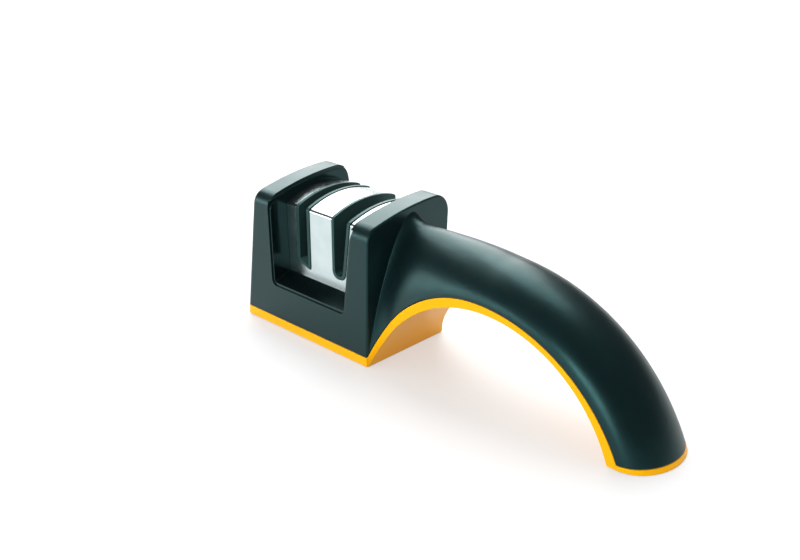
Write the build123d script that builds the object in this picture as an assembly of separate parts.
from build123d import *
import math
import os

# Pull through knife sharpener, in millimetres.
# Origin: under the middle of the head, on the surface it stands on.
# +X runs from the head to the foot of the handle, a blade is drawn along Y, +Z is up.
# The face seen from the front looks along -Y.

os.makedirs("parts", exist_ok=True)

# General
overrun = 4.0                  # how far a cutting body runs past what it cuts
wall = 2.2                     # moulded wall
fit_gap = 0.1                  # gap between pieces that are slid together
parting_gap = 0.3              # shadow line between the black and the amber shell

# Head, without the handle
head_left_x = -34.1            # faces of the head at the base
head_right_x = 32.1
head_front_y = -21.8
head_back_y = 18.4
head_height = 56.0             # highest point of the pillars
left_lean = 8.0                # the left face leans in by this much at the top
right_lean = 1.3               # the right face leans out by this much at the top
back_lean = 1.0                # the back face leans out by this much at the top
top_radius = 114.0             # the pillars' tops are one wide arc, seen from the side
top_peak_y = 11.0              # where that arc is highest
front_nose = 5.5               # round front and back ends of the pillars' tops
back_nose = 7.5
left_corner = 1.8              # round edge all round the left face
right_corner = 0.6             # round edge all round the right face
base_edge = 0.6                # round edge under the base

# U-shaped space between the pillars, inside its lining
cut_floor_z = 17.9             # front edge of the floor
cut_left_low = -17.0           # inner faces at the floor
cut_right_low = 20.3
cut_left_top = -17.8           # inner faces at the top
cut_right_top = 25.4
cut_corner = 1.6               # round inner corners

# Arch under the handle: line where the two shells part
crown_x = 75.0                 # highest point of the line
crown_z = 36.7
near_radius = 44.5             # from the crown down to the head
near_angle = 72.0
far_radius = 62.2              # from the crown down to the foot
far_angle = 70.5
arch_band = 2.6                # thickness of the amber strip at the crown
under_shift = 3.0              # the underside is highest this far past the crown
near_under_extra = 3.5         # and is bent more gently towards the head
far_under_less = 8.7           # and more tightly towards the foot
base_band = 3.9                # height of the amber strip round the head
foot_band = 1.7                # height of the amber rim round the foot

# Handle
grip_half_width = 14.9
neck_extra = 3.3               # the handle is this much wider at the front by the head
neck_fade = 22.0               # length in which that fades
tent_extra = 3.5               # by the head its sides lean in, this much of the width moves down
tent_fade = 20.0
blend_radius = 8.0             # hollow round where the handle meets the head's right face
blend_angle = 50.0             # slope of that round at the face
foot_extra = 0.5               # the foot is a little wider again
crown_fade = 15.0              # length in which the rise settles past the crown
back_line_z = 49.8             # highest point of the handle's back
back_line_x = 50.0
back_line_radius = 165.0
saddle_extra = 1.4             # the back sweeps up to the pillar
saddle_fade = 7.5
grip_rise = 9.8                # rise of the handle's back over the parting line
foot_rise = 10.9
neck_start = 31.3              # the handle's body starts inside the head
skirt = 14.0                   # the handle's skin runs down this far below the parting line
blend_rows = 9                 # rows of points over the hollow round
near_rows = 20                 # from there to the crown
far_rows = 24                  # rows from the crown to the foot
skin_tolerance = 0.01          # how closely the skin follows its points
arc_points = 24                # steps across the rounded back of the handle
skirt_points = 5               # steps down each side
cavity_end_angle = 50.0        # the hollow of the handle stops here, the foot is solid

# Lining of the cut
liner_wall = 0.9
liner_top_drop = 1.6           # the lining ends this far below the pillars' tops
deck_z = 20.7                  # flat of its floor, under the chromed block
deck_front_y = -13.5
liner_setback = 0.5            # its rims lie this far behind the head's faces

# Chromed guide block
guide_front_y = -13.5
guide_back_y = 17.6
guide_front_z = 47.6
guide_peak_y = 4.5
guide_peak_z = 51.3
guide_back_z = 48.7
guide_corner = 1.5             # round front and back edges of its top
guide_wall = 2.0
guide_boss_radius = 2.0
guide_boss_length = 7.0

# Slots, outside of their linings
coarse_left_x = -11.8          # the coarse slot has upright sides
coarse_right_x = -5.1
coarse_low_z = 24.0            # its floor is lowest on the right
coarse_slant = 2.3             # and rises by this much to the left
coarse_corner = 0.7
fine_left_x = 6.9              # the fine slot's left side is upright
fine_right_low = 13.2          # its right side opens towards the top
fine_right_top = 16.7
fine_low_z = 24.9
fine_round_share = 0.97        # its floor is nearly a half circle
slot_top_z = 51.0              # height of the upper sizes
slot_wall = 1.2
slot_gap = 0.15                # gap between a lining and the chromed block
slot_proud = 0.3               # the lining's rim stands out this much

# Wheels
coarse_x = -8.4                # middle of each wheel pair
fine_x = 10.2
wheel_y = 2.0
wheel_radius = 8.5
wheel_width = 3.4
bevel_depth = 3.7              # depth of the V that the blade's edge runs in
bevel_width = 1.35
bore_gap = 0.03                # running fit on the axle
axle_chamfer = 0.3
axle_radius = 1.5
axle_z = 21.8
hub_radius = 2.8
hub_overhang = 0.2
washer_radius = 3.0
washer_thickness = 0.5
washer_bore_gap = 0.05
wheel_chamfer = 0.4
end_play = 0.1
skew_angle = 8.0               # the wheels stand at this angle to the blade

# Cradle that carries the axles
post_thickness = 2.1
post_depth = 6.4
post_head = 2.9                # height of a post over its axle
tub_clear = 0.9                # room round the wheels
tub_wall = 1.2
tub_half_y = 10.1
tub_overhang = 1.4             # the tub reaches this far past the outer posts
flange_thickness = 2.2
flange_margin = 1.9            # edge of the flange round its screws
cradle_screw_left_x = -14.8
cradle_screw_right_x = 17.2
cradle_screw_reach = 12.0      # from the wheels' middle, along Y

# Screws
small_shank = 1.0
small_head = 1.8
small_head_height = 1.4
small_length = 13.0
shell_shank = 1.4
shell_head = 2.3
shell_head_height = 1.2
shell_screw_length = 12.0
screw_gap = 0.15               # clearance hole
thread_gap = 0.02
drive_depth = 0.6              # cross recess in a screw's head
drive_width = 0.5
boss_radius = 3.0
boss_length = 15.0
column_radius = 3.6            # full-height places in the base round the screws
screw_left_x = -26.6
screw_right_x = 26.6
screw_front_y = -16.8
screw_back_y = 13.6
foot_screw_length = 8.5

# Pads
pad_thickness = 0.8
pad_proud = 0.2                # the pads carry the object this far off the ground
pad_margin = 2.0
pad_corner = 3.0
foot_pad_reach = 60.9          # from the crown to the middle of the pad
foot_pad_half_x = 3.7
foot_pad_half_y = 10.5
base_floor = 1.5

# Worked out from the values above
cavity_top = head_height - front_nose - wall
shelf_z = cut_floor_z - liner_wall
shelf_under = shelf_z - wall
far_centre_z = crown_z - far_radius
under_x = crown_x + under_shift
under_z = crown_z - arch_band
near_under_radius = near_radius + near_under_extra
far_under_radius = far_radius - far_under_less
foot_pad_x = crown_x + foot_pad_reach
pad_seat_z = pad_thickness
pad_middle_x = (head_left_x + head_right_x) / 2
pad_middle_y = (head_front_y + head_back_y) / 2
hub_half = wheel_width + hub_overhang
post_inner = hub_half + 2 * end_play + washer_thickness
axle_half = post_inner + post_thickness
tub_floor_z = axle_z - wheel_radius - tub_clear
flange_low_z = shelf_under - flange_thickness
cradle_left = coarse_x - axle_half - tub_overhang
cradle_right = fine_x + axle_half + tub_overhang
far_left = head_left_x - overrun
far_front = head_front_y - overrun
far_back = head_back_y + back_lean + overrun
far_above = head_height + overrun
end_x = crown_x + far_radius + 2 * grip_rise
shell_screw_places = [(x, y) for x in (screw_left_x, screw_right_x) for y in (screw_front_y, screw_back_y)]
cradle_screw_places = [
    (x, wheel_y + side * cradle_screw_reach)
    for x in (cradle_screw_left_x, cradle_screw_right_x) for side in (-1, 1)
]


def on_side(x):
    """Plane across X at x, with its own x along Y and its own y along Z."""
    return Plane(origin=(x, 0, 0), x_dir=(0, 1, 0), z_dir=(1, 0, 0))


def on_front(y):
    """Plane across Y at y, with its own x along X and its own y along Z."""
    return Plane(origin=(0, y, 0), x_dir=(1, 0, 0), z_dir=(0, -1, 0))


def along_y(outline, y_low, y_high):
    """Solid with a front-view outline, from y_low to y_high."""
    return extrude(on_front(y_high) * outline, y_high - y_low)


def along_x(outline, x_low, x_high):
    """Solid with a side-view outline, from x_low to x_high."""
    return extrude(on_side(x_low) * outline, x_high - x_low)


def closed(*points):
    """Face inside straight lines through the points."""
    return make_face(Polyline(*points, close=True))


def block(x_low, x_high, y_low, y_high, z_low, z_high):
    """Box between two corners."""
    size = (x_high - x_low, y_high - y_low, z_high - z_low)
    middle = ((x_high + x_low) / 2, (y_high + y_low) / 2, (z_high + z_low) / 2)
    return Pos(*middle) * Box(*size)


def post(x, y, radius, z_low, z_high):
    """Upright cylinder."""
    return Pos(x, y, (z_low + z_high) / 2) * Cylinder(radius, z_high - z_low)


def between(low, high, z, z_low, z_high):
    """Place at height z of a line that is at low on z_low and at high on z_high."""
    return low + (high - low) * (z - z_low) / (z_high - z_low)


def left_face(z):
    return between(head_left_x, head_left_x + left_lean, z, 0, head_height)


def right_face(z):
    return between(head_right_x, head_right_x + right_lean, z, 0, head_height)


def cut_left(z):
    return between(cut_left_low, cut_left_top, z, cut_floor_z, head_height)


def cut_right(z):
    return between(cut_right_low, cut_right_top, z, cut_floor_z, head_height)


def pillar_top(y):
    """Height of the pillars' wide top arc."""
    return head_height - top_radius + math.sqrt(top_radius ** 2 - (y - top_peak_y) ** 2)


def head_side(inset, drop, low_z):
    """Side view of the head above low_z, inset at the front and back and lowered by drop at the top."""
    front_y = head_front_y + inset
    back_low_y = head_back_y - inset
    back_top_y = back_low_y + back_lean
    low_front = Vector(front_y, low_z)
    top_front = Vector(front_y, pillar_top(front_y) - drop)
    peak = Vector(top_peak_y, head_height - drop)
    top_back = Vector(back_top_y, pillar_top(back_top_y) - drop)
    low_back = Vector(back_low_y, low_z)
    side = make_face(
        Line(low_front, top_front) + ThreePointArc(top_front, peak, top_back)
        + Line(top_back, low_back) + Line(low_back, low_front)
    )
    side = fillet(side.vertices().sort_by(Axis.Y)[-2:].sort_by(Axis.X)[0], front_nose)
    return fillet(side.vertices().filter_by(lambda v: v.Y > head_height / 2).sort_by(Axis.X)[-1], back_nose)


def head_block():
    """Outer body of the head: a front view and a side view, each cut square, with round edges."""
    low = pad_proud
    top = far_above
    front = closed((left_face(0), 0), (right_face(0), 0), (right_face(top), top), (left_face(top), top))
    body = along_y(front, far_front, far_back)
    body = body & along_x(head_side(0, 0, low), far_left, right_face(far_above) + overrun)
    for radius, side in ((left_corner, -1), (right_corner, 1)):
        upright = body.edges().filter_by(lambda e: e.bounding_box().size.Z > head_height / 2)
        body = fillet(upright.filter_by(lambda e: e.center().X * side > 0), radius)
    rim = body.faces().sort_by(Axis.Z)[0].edges()
    return fillet(rim, base_edge)


def cut_outline(spread, floor_z):
    """Front-view outline of the U-shaped cut, made wider by spread on each side."""
    corner = cut_corner + spread
    low_left = (cut_left(floor_z) - spread, floor_z)
    low_right = (cut_right(floor_z) + spread, floor_z)
    top_right = (cut_right(far_above) + spread, far_above)
    top_left = (cut_left(far_above) - spread, far_above)
    outline = closed(low_left, low_right, top_right, top_left)
    low_corners = outline.vertices().sort_by(Axis.Y)[:2]
    return fillet(low_corners, corner)


def arch_line(top_x, top_z, near_bend, far_bend):
    """Edges of a line that runs along the arch: up from below the base, over its top, down to below the foot."""
    top = Vector(top_x, top_z)
    near = JernArc(top, (-1, 0), near_bend, near_angle)
    steep = math.radians(near_angle)
    drop = (near @ 1).Y + overrun
    low = near @ 1 - Vector(drop / math.tan(steep), drop)
    far = JernArc(top, (1, 0), far_bend, -far_angle)
    return near + Line(near @ 1, low) + far, low, far @ 1


def arch_void():
    """Space under the handle."""
    edges, near_low, far_low = arch_line(under_x, under_z, near_under_radius, far_under_radius)
    deep = Vector(far_low.X, near_low.Y - overrun)
    corner = Vector(near_low.X, near_low.Y - overrun)
    outline = make_face(edges + Line(far_low, deep) + Line(deep, corner) + Line(corner, near_low))
    return along_y(outline, far_front, far_back)


def amber_zone(shift):
    """Everything below the line where the shells part, the line moved up by shift."""
    edges, near_low, far_low = arch_line(crown_x, crown_z + shift, near_radius + shift, far_radius + shift)
    deep_z = near_low.Y - overrun
    low_left = Vector(near_low.X, deep_z)
    low_right = Vector(far_low.X, deep_z)
    under_arch = make_face(edges + Line(far_low, low_right) + Line(low_right, low_left) + Line(low_left, near_low))
    strip = block(far_left, near_low.X + overrun, far_front, far_back, deep_z, base_band + shift)
    rim = block(far_low.X - foot_rise, end_x, far_front, far_back, deep_z, foot_band + shift)
    return along_y(under_arch, far_front, far_back) + strip + rim


def swell(distance):
    """Height of the hollow round at a distance from the head's right face, level inside the head."""
    reach = blend_radius * math.sin(math.radians(blend_angle))
    left = min(max(reach - distance, 0), reach)
    return blend_radius - math.sqrt(blend_radius ** 2 - left ** 2)


def fading(amount, x, length):
    """An amount at the head's right face that fades out over a length."""
    return amount * math.exp(-max(x - head_right_x, 0) / length)


def back_line(x):
    """Height of the handle's back between the head and the crown."""
    bow = (x - back_line_x) ** 2 / (2 * back_line_radius)
    return back_line_z - bow + fading(saddle_extra, x, saddle_fade)


def parting_height(x):
    """Height of the parting line between the head and the crown."""
    level = math.sqrt(max(near_radius ** 2 - (crown_x - x) ** 2, 0))
    return max(crown_z - near_radius + level, base_band)


def dome_row(place, x, wider, spring, rise):
    """Points across the handle: up the front, over a rounded back, down the other side.

    place turns a distance across and a height into a point in space. By the head the sides lean in
    like a tent, and the front one starts further out.
    """
    tent = fading(tent_extra, x, tent_fade)
    feet = (-wider - fading(neck_extra, x, neck_fade), wider)
    slim = grip_half_width - tent
    steps = [k / skirt_points for k in range(skirt_points)]
    turns = [math.pi * k / arc_points for k in range(arc_points + 1)]
    row = []
    for turn in turns:
        side = -1 if turn < math.pi / 2 else 1
        foot = feet[0] if side < 0 else feet[1]
        lean = (side * tent + foot) * (1 - math.sin(turn))
        row.append(place(-slim * math.cos(turn) + lean, spring + rise * math.sin(turn)))
    front = [place(-grip_half_width + feet[0], spring - skirt * (1 - step)) for step in steps]
    back = [place(grip_half_width + feet[1], spring - skirt * (1 - step)) for step in reversed(steps)]
    return front + row + back


def near_places(first_x):
    """Where the rows between the head and the crown stand: close together in the hollow round."""
    end = math.radians(blend_angle)
    turns = [end * (1 - k / blend_rows) for k in range(blend_rows)]
    hollow = [head_right_x + blend_radius * (math.sin(end) - math.sin(turn)) for turn in turns]
    start = head_right_x + blend_radius * math.sin(end)
    rest = [start + (crown_x - start) * k / near_rows for k in range(near_rows + 1)]
    return [first_x, (first_x + head_right_x) / 2] + hollow + rest


def handle_skin(inset, first_x):
    """One smooth surface over the handle's back and sides, inset from the real one.

    Its rows stand upright up to the crown, and past it they fan out round the far arc's centre.
    The hollow round is left out of an inset skin.
    """
    rows = []
    for x in near_places(first_x):
        spring = parting_height(x)
        extra = -inset if inset else swell(x - head_right_x)

        def upright(across, z):
            lean = right_face(z) - head_right_x if x > first_x else 0
            return (x + fading(lean, x, neck_fade), across, z)

        rows.append(dome_row(upright, x, extra, spring, back_line(x) - spring + extra))
    crown_rise = back_line(crown_x) - crown_z
    for i in range(1, far_rows):
        share = i / (far_rows - 1)
        turn = math.radians(far_angle * share)
        x = crown_x + far_radius * math.sin(turn)
        settle = math.exp(-far_radius * turn / crown_fade)
        rise = grip_rise + (crown_rise - grip_rise) * settle + (foot_rise - grip_rise) * share ** 4
        wider = foot_extra * share ** 2 - inset

        def fan(across, radius):
            return (crown_x + radius * math.sin(turn), across, far_centre_z + radius * math.cos(turn))

        rows.append(dome_row(fan, x, wider, far_radius, rise - inset))
    return Face.make_surface_from_array_of_points(rows, tol=skin_tolerance, min_deg=3, max_deg=3)


def handle_block(inset, first_x, last_x):
    """The handle from first_x to last_x, inset all round but not at the arch."""
    start_x = first_x + parting_gap
    body = block(start_x, last_x, far_front, far_back, pad_proud, far_above) - arch_void()
    pieces = [piece for piece in body.solid().split(handle_skin(inset, first_x), Keep.BOTH) if piece]
    return min(pieces, key=lambda piece: piece.volume)


def outer_body():
    """Head and handle as one block, with the arch cut out, standing on the pads."""
    return head_block() - arch_void() + handle_block(0, neck_start, end_x)


def head_cavity():
    """Hollow of the head: across the base and up inside both pillars."""
    gap = liner_wall + wall
    outline = closed(
        (left_face(0) + wall, 0),
        (right_face(0) - wall, 0),
        (right_face(cavity_top) - wall, cavity_top),
        (cut_right(cavity_top) + gap, cavity_top),
        (cut_right(shelf_under) + gap, shelf_under),
        (cut_left(shelf_under) - gap, shelf_under),
        (cut_left(cavity_top) - gap, cavity_top),
        (left_face(cavity_top) + wall, cavity_top),
    )
    return along_y(outline, far_front, far_back) & along_x(head_side(wall, wall, 0), head_left_x, 2 * head_right_x)


def cut_space(spread, floor_z, inset, drop):
    """U-shaped body through the head, made wider by spread, its ends inset and its top lowered by drop."""
    side = head_side(inset, drop, 0)
    return along_y(cut_outline(spread, floor_z), far_front, far_back) & along_x(side, head_left_x, 2 * head_right_x)


def blade_space():
    """Open space between the pillars over the sloping floor."""
    fall = (deck_z - cut_floor_z) / (deck_front_y - head_front_y)
    floor = closed(
        (far_front, cut_floor_z - overrun * fall),
        (deck_front_y, deck_z),
        (guide_back_y, deck_z),
        (far_back, deck_z - (far_back - guide_back_y) * fall),
        (far_back, far_above),
        (far_front, far_above),
    )
    return along_y(cut_outline(0, cut_floor_z), far_front, far_back) & along_x(floor, head_left_x, head_right_x)


def screw_holes(places, radius, z_low, z_high):
    """One upright hole for each place."""
    return [post(x, y, radius, z_low, z_high) for x, y in places]


def cradle_window(gap, z_low, z_high):
    """Box round the cradle's tub."""
    return block(
        cradle_left - gap, cradle_right + gap, wheel_y - tub_half_y - gap, wheel_y + tub_half_y + gap, z_low, z_high
    )


def upper_shell(outer):
    """Black shell: head, pillars and the top of the handle, hollow from below."""
    shell = outer - amber_zone(parting_gap)
    shell = shell - along_y(cut_outline(0, cut_floor_z), far_front, far_back)
    shell = shell - cut_space(liner_wall, shelf_z, -overrun, liner_top_drop - fit_gap)
    shell = shell - head_cavity()
    cavity_start = cut_right_top + liner_wall + wall
    cavity_end = crown_x + far_radius * math.sin(math.radians(cavity_end_angle))
    shell = shell - handle_block(wall, cavity_start, cavity_end)
    for x, y in shell_screw_places:
        shell = shell + (post(x, y, boss_radius, base_band, base_band + boss_length) & outer)
    shell = shell - cradle_window(parting_gap, shelf_under - overrun, shelf_z + overrun)
    hole_top = pad_seat_z + shell_screw_length + screw_gap
    shell = shell - screw_holes(shell_screw_places, shell_shank + thread_gap, 0, hole_top)
    shell = shell - screw_holes(cradle_screw_places, small_shank + screw_gap, shelf_under - wall, deck_z)
    foot_hole_top = pad_seat_z + foot_screw_length + screw_gap
    return shell - post(foot_pad_x, 0, shell_shank + thread_gap, 0, foot_hole_top)


def countersink(x, y, gap):
    """Cone and shank of a countersunk screw, made larger by gap."""
    cone = Pos(x, y, pad_seat_z + shell_head_height / 2) * Cone(shell_head + gap, shell_shank + gap, shell_head_height)
    return cone + post(x, y, shell_shank + gap, pad_seat_z, base_band + overrun)


def head_pad_outline():
    """Plan of the pad under the head."""
    width = head_right_x - head_left_x - 2 * pad_margin
    depth = head_back_y - head_front_y - 2 * pad_margin
    return Pos(pad_middle_x, pad_middle_y) * RectangleRounded(width, depth, pad_corner)


def foot_pad_outline(gap):
    """Plan of the pad under the foot."""
    return Pos(foot_pad_x, 0) * Ellipse(foot_pad_half_x + gap, foot_pad_half_y + gap)


def lower_shell(outer):
    """Amber shell: the base tray, the strip under the arch and the rim of the foot."""
    shell = outer & amber_zone(0)
    pocket_low = pad_seat_z + base_floor
    pocket = block(
        head_left_x + 2 * wall, head_right_x - wall, head_front_y + wall, head_back_y - wall,
        pocket_low, base_band + overrun
    )
    for x, y in shell_screw_places:
        pocket = pocket - post(x, y, column_radius, 0, base_band + overrun)
    shell = shell - pocket
    shell = shell - extrude(offset(head_pad_outline(), fit_gap), pad_seat_z)
    shell = shell - extrude(foot_pad_outline(fit_gap), pad_seat_z)
    for x, y in shell_screw_places + [(foot_pad_x, 0)]:
        shell = shell - countersink(x, y, screw_gap)
    return shell


def inner_frame():
    """Glossy lining of the cut, with the floor that the chromed block stands on."""
    frame = cut_space(liner_wall - fit_gap, shelf_z, liner_setback, liner_top_drop) - blade_space()
    frame = frame - cradle_window(parting_gap, shelf_z - overrun, deck_z + overrun)
    return frame - screw_holes(cradle_screw_places, small_shank + screw_gap, shelf_z - overrun, deck_z + overrun)


def guide_side(inset):
    """Side view of the chromed block: upright ends and an arched top."""
    front_y = guide_front_y + inset
    back_y = guide_back_y - inset
    low_front = Vector(front_y, deck_z)
    top_front = Vector(front_y, guide_front_z - inset)
    peak = Vector(guide_peak_y, guide_peak_z - inset)
    top_back = Vector(back_y, guide_back_z - inset)
    low_back = Vector(back_y, deck_z)
    side = make_face(
        Line(low_front, top_front) + ThreePointArc(top_front, peak, top_back)
        + Line(top_back, low_back) + Line(low_back, low_front)
    )
    return fillet(side.vertices().filter_by(lambda v: v.Y > deck_z + guide_wall), guide_corner)


def fine_outline(inset):
    """Front view of the fine slot: a U with one upright and one leaning side."""
    low = fine_low_z + inset
    left = fine_left_x + inset
    right_low = between(fine_right_low, fine_right_top, low, fine_low_z, slot_top_z) - inset
    right_high = between(fine_right_low, fine_right_top, far_above, fine_low_z, slot_top_z) - inset
    outline = closed((left, low), (right_low, low), (right_high, far_above), (left, far_above))
    corners = outline.vertices().sort_by(Axis.Y)[:2]
    return fillet(corners, (right_low - left) / 2 * fine_round_share)


def coarse_outline(inset):
    """Front view of the coarse slot: upright sides and a floor that slants down to the right."""
    low = coarse_low_z + inset
    left = coarse_left_x + inset
    right = coarse_right_x - inset
    outline = closed((left, low + coarse_slant), (right, low), (right, far_above), (left, far_above))
    corners = outline.vertices().sort_by(Axis.Y)[:2]
    return fillet(corners, coarse_corner)


def slot_liner(outline, x):
    """Channel through the chromed block, with a window where the wheels stand in it."""
    channel = along_y(outline(0), far_front, far_back) - along_y(outline(slot_wall), far_front, far_back)
    channel = channel & along_x(guide_side(-slot_proud), head_left_x, head_right_x)
    window = Cylinder(wheel_radius + tub_clear, 2 * (axle_half + overrun), rotation=(0, 90, 0))
    return channel - axle_place(x) * window


def guide_cover():
    """Chromed block: front, arched top and back, with the two slots cut through."""
    cover = along_x(guide_side(0), head_left_x, head_right_x)
    cover = cover & along_y(cut_outline(-fit_gap, cut_floor_z), far_front, far_back)
    cover = cover - along_x(guide_side(guide_wall), head_left_x, head_right_x)
    front_y = guide_front_y + guide_wall
    back_y = guide_back_y - guide_wall
    cover = cover - block(head_left_x, head_right_x, front_y, back_y, deck_z - overrun, deck_z + overrun)
    for x, y in cradle_screw_places:
        cover = cover + post(x, y, guide_boss_radius, deck_z, deck_z + guide_boss_length)
    cover = cover - along_y(coarse_outline(-slot_gap), far_front, far_back)
    cover = cover - along_y(fine_outline(-slot_gap), far_front, far_back)
    hole_top = deck_z + guide_boss_length
    return cover - screw_holes(cradle_screw_places, small_shank + thread_gap, deck_z - overrun, hole_top)


def axle_place(x):
    """Middle of a wheel pair, turned to its angle to the blade."""
    return Pos(x, wheel_y, axle_z) * Rot(0, 0, skew_angle)


def along_axle(radius, low, high):
    """Cylinder round the local X axis from low to high."""
    return Pos((low + high) / 2, 0, 0) * Cylinder(radius, high - low, rotation=(0, 90, 0))


def wheel(x, side):
    """One bevelled wheel, side is -1 for the left one of a pair and 1 for the right one."""
    outer = side * wheel_width
    outline = closed(
        (0, hub_radius + thread_gap),
        (0, wheel_radius - bevel_depth),
        (side * bevel_width, wheel_radius),
        (outer - side * wheel_chamfer, wheel_radius),
        (outer, wheel_radius - wheel_chamfer),
        (outer, hub_radius + thread_gap),
    )
    return axle_place(x) * revolve(Plane.XY * outline, Axis.X)


def hub(x):
    """Sleeve that carries a pair of wheels."""
    bore = along_axle(axle_radius + bore_gap, -axle_half, axle_half)
    return axle_place(x) * (along_axle(hub_radius, -hub_half, hub_half) - bore)


def washers(x):
    """Thrust washers on both sides of the hub."""
    inner = hub_half + end_play
    outer = inner + washer_thickness
    bore = along_axle(axle_radius + washer_bore_gap, -axle_half, axle_half)
    spans = ((inner, outer), (-outer, -inner))
    return Compound(children=[axle_place(x) * (along_axle(washer_radius, low, high) - bore) for low, high in spans])


def axle(x):
    """Steel pin between two posts."""
    return axle_place(x) * chamfer(along_axle(axle_radius, -axle_half, axle_half).edges(), axle_chamfer)


def wheel_cradle():
    """Tub under the chromed block with a flange and four posts for the axles."""
    low = tub_floor_z - tub_wall
    tub = cradle_window(0, low, shelf_under) - cradle_window(-tub_wall, tub_floor_z, shelf_under + overrun)
    ys = [y for x, y in cradle_screw_places]
    xs = [x for x, y in cradle_screw_places]
    flange = block(
        min(xs) - flange_margin, max(xs) + flange_margin, min(ys) - flange_margin, max(ys) + flange_margin,
        flange_low_z, shelf_under
    )
    cradle = tub + (flange - cradle_window(-tub_wall, flange_low_z - overrun, shelf_under + overrun))
    for x in (coarse_x, fine_x):
        for side in (-1, 1):
            middle = side * (post_inner + post_thickness / 2)
            height = axle_z + post_head - low
            upright = Pos(middle, 0, post_head - height / 2) * Box(post_thickness, post_depth, height)
            cradle = cradle + axle_place(x) * upright
        cradle = cradle - axle_place(x) * along_axle(axle_radius + thread_gap, -axle_half, axle_half)
    return cradle - screw_holes(cradle_screw_places, small_shank + screw_gap, low, deck_z)


def cross(x, y, z_low, z_high, span):
    """Cross recess for a driver."""
    bar = Pos(x, y, (z_low + z_high) / 2) * Box(span, drive_width, z_high - z_low)
    return bar + Pos(x, y, (z_low + z_high) / 2) * Box(drive_width, span, z_high - z_low)


def cradle_screw(x, y):
    """Pan-head screw, driven up through the flange into the chromed block."""
    head_low = flange_low_z - small_head_height
    screw = post(x, y, small_head, head_low, flange_low_z) + post(x, y, small_shank, head_low, flange_low_z + small_length)
    return screw - cross(x, y, head_low - drive_depth, head_low + drive_depth, small_head)


def shell_screw(x, y, length):
    """Countersunk screw, driven up through the amber shell into the black one."""
    cone = Pos(x, y, pad_seat_z + shell_head_height / 2) * Cone(shell_head, shell_shank, shell_head_height)
    screw = cone + post(x, y, shell_shank, pad_seat_z, pad_seat_z + length)
    return screw - cross(x, y, pad_seat_z - drive_depth, pad_seat_z + drive_depth, shell_head)


def main():
    outer = outer_body()
    pieces = {
        "upper_shell": upper_shell(outer),
        "lower_shell": lower_shell(outer),
        "inner_frame": inner_frame(),
        "guide_cover": guide_cover(),
        "coarse_slot_liner": slot_liner(coarse_outline, coarse_x),
        "fine_slot_liner": slot_liner(fine_outline, fine_x),
        "wheel_cradle": wheel_cradle(),
        "cradle_screws": Compound(children=[cradle_screw(x, y) for x, y in cradle_screw_places]),
        "shell_screws": Compound(children=[shell_screw(x, y, shell_screw_length) for x, y in shell_screw_places]),
        "foot_screw": shell_screw(foot_pad_x, 0, foot_screw_length),
        "head_pad": extrude(head_pad_outline(), pad_thickness),
        "foot_pad": extrude(foot_pad_outline(0), pad_thickness),
    }
    for name, x in (("coarse", coarse_x), ("fine", fine_x)):
        pieces[name + "_axle"] = axle(x)
        pieces[name + "_hub"] = hub(x)
        pieces[name + "_wheel_left"] = wheel(x, -1)
        pieces[name + "_wheel_right"] = wheel(x, 1)
        pieces[name + "_washers"] = washers(x)
    for name, piece in pieces.items():
        export_step(piece, "parts/" + name + ".step")


if __name__ == "__main__":
    main()
